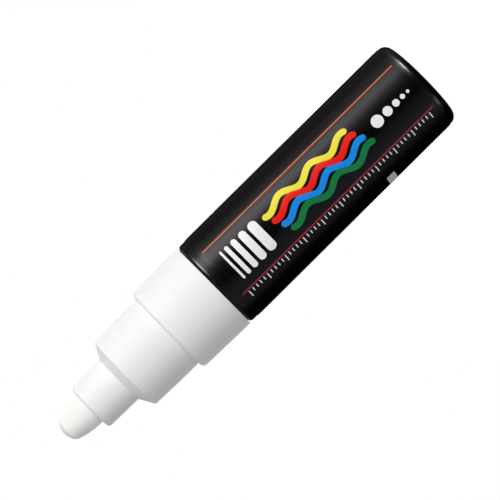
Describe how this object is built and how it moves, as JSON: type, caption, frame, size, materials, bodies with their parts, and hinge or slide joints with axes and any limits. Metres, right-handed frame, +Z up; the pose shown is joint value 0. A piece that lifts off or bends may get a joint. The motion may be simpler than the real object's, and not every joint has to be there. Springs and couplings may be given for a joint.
{
  "type": "paint marker",
  "caption": "Uncapped paint marker: film-wrapped round barrel, stepped white collar and a bullet nib that presses in to open a sprung valve, with loose mixing balls in the paint space.",
  "frame": {"origin": "centre of the flat base that the marker stands on", "axes": "+Z up the axis towards the nib, -Y towards the printed front"},
  "size_m": [0.021, 0.021, 0.1003],
  "materials": {
    "barrel_plastic": "glossy black moulded polypropylene",
    "film_print": "glossy black printed film",
    "collar_plastic": "satin white moulded polypropylene",
    "nib_felt": "bonded white fibre",
    "valve_plastic": "natural moulded polypropylene",
    "seal_rubber": "black rubber",
    "spring_steel": "drawn stainless wire",
    "ball_steel": "polished stainless steel"
  },
  "bodies": {
    "body": {"barrel": "barrel_plastic", "barrel_film": "film_print", "front_collar": "collar_plastic", "neck_gasket": "seal_rubber", "valve_seat": "valve_plastic", "valve_cage": "valve_plastic", "valve_spring": "spring_steel"},
    "nib": {"nib": "nib_felt"},
    "valve": {"valve_stem": "valve_plastic", "stem_washer": "seal_rubber"},
    "left_ball": {"mixing_ball_left": "ball_steel"},
    "right_ball": {"mixing_ball_right": "ball_steel"}
  },
  "joints": [
    {"name": "nib_press", "type": "slide", "parent": "body", "child": "nib", "axis": [0, 0, -1], "range_m": [0, 0.0025]},
    {"name": "valve_open", "type": "slide", "parent": "body", "child": "valve", "axis": [0, 0, -1], "range_m": [0, 0.0025], "stiffness_N_per_m": 600, "springref_m": -0.0015, "deforming": ["valve_spring"]},
    {"name": "left_ball_travel", "type": "slide", "parent": "body", "child": "left_ball", "axis": [0, 0, 1], "range_m": [0, 0.046]},
    {"name": "right_ball_travel", "type": "slide", "parent": "body", "child": "right_ball", "axis": [0, 0, 1], "range_m": [0, 0.046]}
  ],
  "couplings": [
    {"joint": "valve_open", "follows": "nib_press", "ratio": 1}
  ]
}
